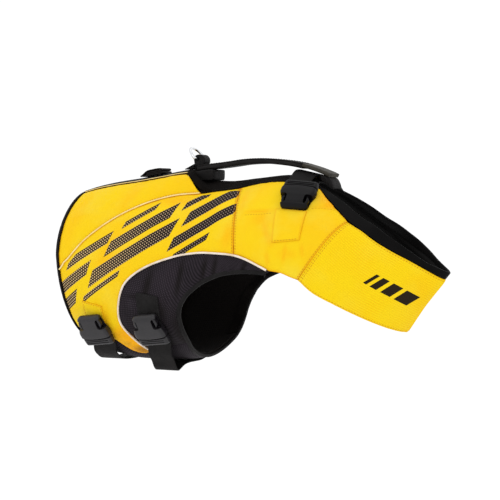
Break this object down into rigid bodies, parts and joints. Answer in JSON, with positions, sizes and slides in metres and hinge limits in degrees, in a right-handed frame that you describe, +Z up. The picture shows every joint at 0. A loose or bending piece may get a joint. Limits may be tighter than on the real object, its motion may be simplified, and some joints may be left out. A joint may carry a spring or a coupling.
{
  "type": "dog life jacket",
  "caption": "Filled-out dog life jacket with foam back and side panels, black side cloth, belly pad, front chest band, grab handle, hinged leash ring and fastened buckles.",
  "frame": {"origin": "on the wearer's spine under the handle, at the inner side of the saddle", "axes": "+X toward the wearer's head, +Y toward the wearer's left, +Z up"},
  "size_m": [0.5805, 0.227, 0.32],
  "materials": {
    "nylon": "plain woven yellow nylon over foam",
    "band": "ribbed woven yellow cloth",
    "neoprene": "matt black knit-faced neoprene",
    "lining": "matt black lining",
    "webbing": "black woven webbing",
    "plastic": "satin black moulded plastic",
    "piping": "pale reflective piping",
    "grip": "olive-grey rubbery end cover",
    "metal": "bright plated steel"
  },
  "bodies": {
    "jacket": {"arch_piping_left": "piping", "arch_piping_right": "piping", "back_panel_left": "nylon", "back_panel_right": "nylon", "back_piping_left": "piping", "back_piping_right": "piping", "belly_buckle_front_left": "plastic", "belly_buckle_front_right": "plastic", "belly_buckle_rear_left": "plastic", "belly_buckle_rear_right": "plastic", "belly_pad": "neoprene", "belly_strap_front": "webbing", "belly_strap_rear": "webbing", "chest_band": "band", "collar": "neoprene", "handle": "webbing", "handle_anchor": "webbing", "handle_foot": "webbing", "handle_front_tab": "grip", "leg_binding": "webbing", "leg_trim_left": "lining", "leg_trim_right": "lining", "lining_back": "lining", "lining_chest": "lining", "lining_shoulder_left": "lining", "lining_shoulder_right": "lining", "lining_side_left": "lining", "lining_side_right": "lining", "neoprene_panel_left": "neoprene", "neoprene_panel_right": "neoprene", "rear_binding": "webbing", "ring_post": "webbing", "ring_tail": "webbing", "saddle_patch": "webbing", "shoulder_buckle_left": "plastic", "shoulder_buckle_right": "plastic", "shoulder_panel_left": "nylon", "shoulder_panel_right": "nylon", "shoulder_strap": "webbing", "side_panel_left": "nylon", "side_panel_right": "nylon", "spine_keeper": "webbing", "spine_strip": "webbing", "strap_cover_front_left": "nylon", "strap_cover_front_right": "nylon", "strap_cover_rear_left": "nylon", "strap_cover_rear_right": "nylon", "strap_tab_left": "webbing", "strap_tab_right": "webbing"},
    "leash_ring": {"leash_ring": "metal"}
  },
  "joints": [
    {"name": "leash_ring_hinge", "type": "hinge", "parent": "jacket", "child": "leash_ring", "pos_m": [-0.009, 0, 0.017], "axis": [0, 1, 0], "range_deg": [-75, 95]}
  ]
}
